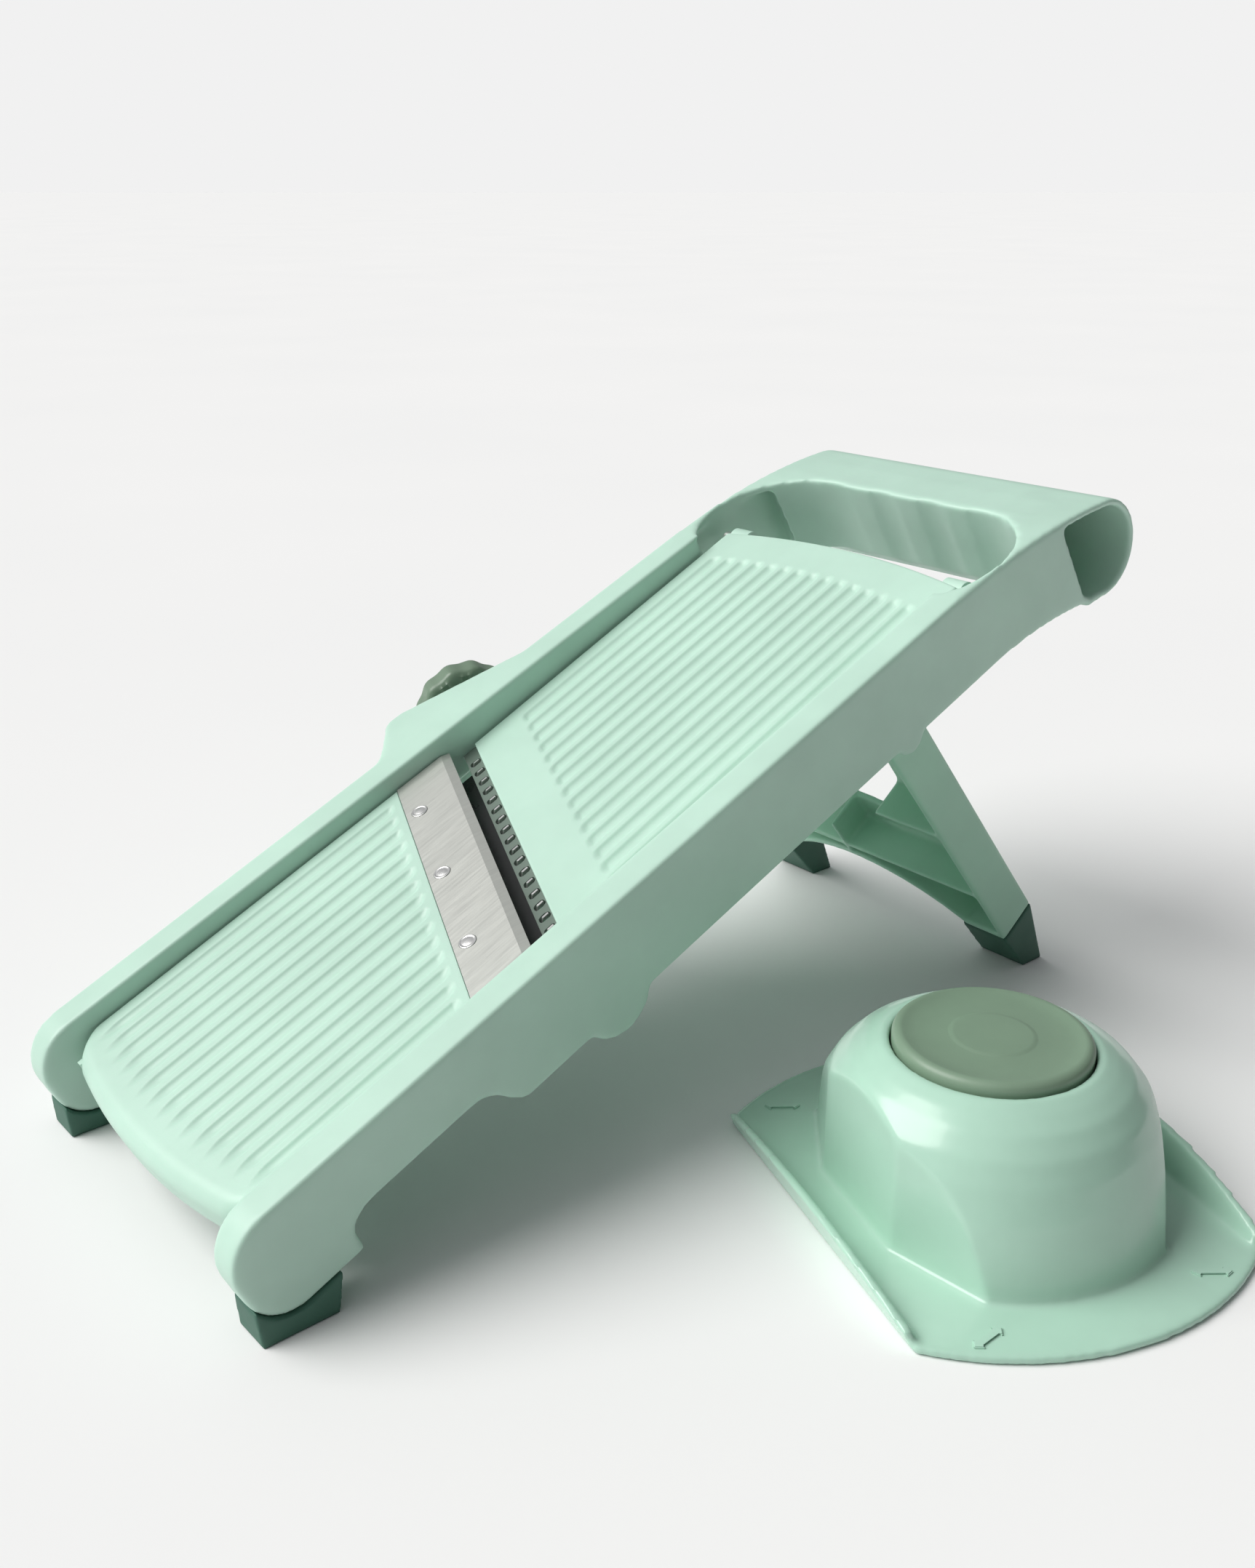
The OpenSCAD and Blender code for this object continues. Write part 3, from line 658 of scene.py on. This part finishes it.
def build_signs():
    """Two arrows, and a pictogram on each side of the dial's dividing line."""
    line_turn, stick_turn = 21, 62
    arrow_w, arrow_head = 0.07 * KNOB_R, 0.127 * KNOB_R
    bm = bmesh.new()
    arc_arrow(bm, 0.33 * KNOB_R, 135, 72, arrow_w, arrow_head)
    arc_arrow(bm, 0.31 * KNOB_R, -37, -107, arrow_w, arrow_head)
    # four sticks above the line, three round slices below it
    sticks = [((-0.16 + 0.11 * i) * KNOB_R, 0.125 * KNOB_R) for i in range(4)]
    for x, y in placed(sticks, 0, 0, line_turn):
        bar(bm, x, y, 0.15 * KNOB_R, 0.045 * KNOB_R, line_turn + stick_turn)
    slices = [((-0.13 + 0.14 * i) * KNOB_R, -0.105 * KNOB_R) for i in range(3)]
    for x, y in placed(slices, 0, 0, line_turn):
        prism(bm, circle(x, y, 0.055 * KNOB_R, 28), (PRINT_Z, PRINT_Z + PRINT_T), flat)
    return close_up("dial_signs", bm, DIAL, 40)


piece("dial_signs", "dial", "print_white", PRINT, build_signs())


# ---------------------------------------------------------------- leg and feet
piece("leg_frame", "stand", "mint_plastic", MINT_LEG_SHADED,
      moulded("leg_frame", ["stand_frame"], LEG, 0.7, 5), "stand_frame")
for foot, body in (("foot_front_near", "base"), ("foot_front_far", "base"),
                   ("foot_rear_near", "stand"), ("foot_rear_far", "stand")):
    piece(foot + "_sole", body, "dark_rubber", DARK,
          moulded(foot + "_sole", [foot], FLOOR, 0.5, 4), foot)


# ---------------------------------------------------------------- guard
BRIM_MARKS = ((57.8, -34.6, 110), (57.2, 33.9, 70), (-53.6, -36.0, 70), (-54, 36, 110))


def build_brim_marks():
    """Raised double arrows on the brim, each with its place and turn."""
    arrow = [(-5.6, 0), (-3.4, 2.0), (-3.4, 0.7), (3.4, 0.7), (3.4, 2.0), (5.6, 0),
             (3.4, -2.0), (3.4, -0.7), (-3.4, -0.7), (-3.4, -2.0)]
    bm = bmesh.new()
    for x, y, degrees in BRIM_MARKS:
        prism(bm, placed(arrow, x, y, degrees), (2.0, 3.05), flat)
    bmesh.ops.bevel(bm, geom=list(bm.edges), offset=0.25, segments=2, affect="EDGES")
    return close_up("brim_marks", bm, GUARD, 40)


piece("guard_body", "guard", "mint_plastic", MINT_GLOSS,
      moulded("guard_body", ["guard_shell"], GUARD, 0.72, 8), "guard_shell")
piece("brim_marks", "guard", "mint_plastic", MINT_GLOSS, build_brim_marks())


def build_cap():
    """The cap: a rounded rim around a sunk top with a raised ring."""
    rows = [(CAP_R - 2, GUARD_H - 9), (CAP_R - 0.4, GUARD_H - 9), (CAP_R, GUARD_H - 8.5),
            (CAP_R, GUARD_H - 5), (CAP_R, GUARD_H - 2.2)]
    rows += rim_round(CAP_R, GUARD_H - 2.2, 2.4, 2.2, 7)
    rows += [(CAP_R - 3.0, GUARD_H - 0.08), (CAP_R - 4.0, GUARD_H - 0.35),
             (CAP_R - 7.0, GUARD_H - 0.62), (CAP_R * 0.45, GUARD_H - 0.7),
             (CAP_R * 0.43, GUARD_H - 0.62), (CAP_R * 0.41, GUARD_H - 0.42),
             (CAP_R * 0.38, GUARD_H - 0.38), (CAP_R * 0.2, GUARD_H - 0.42),
             (0.05, GUARD_H - 0.45), (0.05, GUARD_H - 2.2), (CAP_R - 2, GUARD_H - 2.2)]
    verts, faces = lathe(rows, 160)
    return mesh_of("cap_button", verts, faces, GUARD, 60)


piece("cap_button", "plunger", "sage_plastic", SAGE, build_cap(), "guard_cap")
finish_node("guard_plunger", MINT)
finish_node("guard_pins", PIN)


def build_spring(low, high, radius, wire, coils):
    """A helical spring with closed ends."""
    steps, ring = coils * 40, 10
    verts, faces = [], []
    for i in range(steps + 1):
        t = i / steps
        a = 2 * math.pi * coils * t
        # the coils lie close together at both ends
        open_t = (t - 0.1) / 0.8
        rise = float(ease(np.array(open_t)) * 0.35 + np.clip(open_t, 0, 1) * 0.65)
        z = low + wire + (high - low - 2 * wire) * rise
        for k in range(ring):
            b = 2 * math.pi * k / ring
            r = radius + wire * math.cos(b)
            verts.append((r * math.cos(a), r * math.sin(a), z + wire * math.sin(b)))
    for i in range(steps):
        for k in range(ring):
            m = (k + 1) % ring
            faces.append((i * ring + k, i * ring + m, (i + 1) * ring + m, (i + 1) * ring + k))
    faces.append(tuple(range(ring - 1, -1, -1)))
    faces.append(tuple(steps * ring + k for k in range(ring)))
    return mesh_of("press_spring", verts, faces, GUARD)


SEAT = GUARD_H - 24 + 1.65
spring = piece("press_spring", "guard", "pin_steel", PIN,
               build_spring(SEAT, SPRING_TOP, SPRING_R, SPRING_WIRE, SPRING_COILS),
               "guard_spring")
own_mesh(spring)


# ---------------------------------------------------------------- floor, light, camera
PALE = 0.880  # the grey of the studio's floor and walls
FLOOR_HALF, FLOOR_DROP = 60, 0.0002  # metres
SKY_TINT = (0.96, 0.975, 1.0, 1)
BRIGHT_SIDE = (-0.50, 0.75, 0.43)  # the studio is bright behind the slicer, on its left
DIM, BRIGHT = 0.01, 0.50
KEY_TOWARDS, KEY_TINT = (-0.62, 0.42, 0.80), (1.0, 0.99, 0.97)
KEY_STRENGTH, KEY_WIDTH = 3.0, 46
PICTURE_TALL, FOCAL_LENGTH, SENSOR = 2156, 2174.995, 36  # pixels, pixels, millimetres
EYE = (-0.143475, -0.303372, 0.270488)
HEADING, PITCH = math.radians(40.071), math.radians(21.231)  # from +Y to +X, and downward


def build_floor():
    mat, tree, shader = new_material("pale_floor")
    colours = ramp(tree, noise(tree, scale=3, detail=2),
                   [(0.3, (PALE, 0.882, 0.882)), (0.7, (0.895, 0.895, 0.893))])
    tree.links.new(colours, shader.inputs["Base Color"])
    shader.inputs["Roughness"].default_value = 0.7
    shader.inputs["Specular IOR Level"].default_value = 0.0
    bm = bmesh.new()
    bmesh.ops.create_grid(bm, x_segments=8, y_segments=8, size=FLOOR_HALF)
    mesh = bpy.data.meshes.new("floor")
    bm.to_mesh(mesh)
    bm.free()
    mesh.materials.append(mat)
    floor = bpy.data.objects.new("floor", mesh)
    floor.location = (0, 0, -FLOOR_DROP)
    bpy.context.scene.collection.objects.link(floor)


def build_studio():
    """Light that fades from the bright side to the dim one, with walls as pale as the floor."""
    world = bpy.data.worlds.new("studio")
    world.use_nodes = True
    nodes, links = world.node_tree.nodes, world.node_tree.links
    where = nodes.new("ShaderNodeTexCoord")
    facing = nodes.new("ShaderNodeVectorMath")
    facing.operation = "DOT_PRODUCT"
    facing.inputs[1].default_value = BRIGHT_SIDE
    links.new(where.outputs["Generated"], facing.inputs[0])
    fade = nodes.new("ShaderNodeMapRange")
    fade.inputs["From Min"].default_value = -0.6
    fade.inputs["From Max"].default_value = 0.8
    fade.inputs["To Min"].default_value = DIM
    fade.inputs["To Max"].default_value = BRIGHT
    links.new(facing.outputs["Value"], fade.inputs["Value"])
    sky = nodes["Background"]
    sky.inputs["Color"].default_value = SKY_TINT
    links.new(fade.outputs["Result"], sky.inputs["Strength"])
    wall = nodes.new("ShaderNodeBackground")
    wall.inputs["Color"].default_value = (PALE, PALE, PALE, 1)
    wall.inputs["Strength"].default_value = 1.0
    seen = nodes.new("ShaderNodeLightPath")
    both = nodes.new("ShaderNodeMixShader")
    links.new(seen.outputs["Is Camera Ray"], both.inputs["Fac"])
    links.new(sky.outputs["Background"], both.inputs[1])
    links.new(wall.outputs["Background"], both.inputs[2])
    links.new(both.outputs["Shader"], nodes["World Output"].inputs["Surface"])
    bpy.context.scene.world = world


def build_key():
    """A wide, soft sun; its direction points from the slicer to the lamp."""
    lamp = bpy.data.lights.new("key", "SUN")
    lamp.energy = KEY_STRENGTH
    lamp.angle = math.radians(KEY_WIDTH)
    lamp.color = KEY_TINT
    obj = bpy.data.objects.new("key", lamp)
    obj.rotation_euler = (-Vector(KEY_TOWARDS)).to_track_quat("-Z", "Y").to_euler()
    bpy.context.scene.collection.objects.link(obj)


def build_camera():
    camera = bpy.data.cameras.new("camera")
    camera.sensor_fit = "AUTO"
    camera.sensor_width = SENSOR
    camera.lens = FOCAL_LENGTH * SENSOR / PICTURE_TALL
    camera.clip_start, camera.clip_end = 0.01, 20
    eye = bpy.data.objects.new("camera", camera)
    eye.location = EYE
    forward = Vector((math.cos(PITCH) * math.sin(HEADING), math.cos(PITCH) * math.cos(HEADING),
                      -math.sin(PITCH)))
    eye.rotation_euler = forward.to_track_quat("-Z", "Y").to_euler()
    bpy.context.scene.collection.objects.link(eye)
    bpy.context.scene.camera = eye


build_floor()
build_studio()
build_key()
build_camera()
bpy.context.scene.view_settings.view_transform = "Standard"
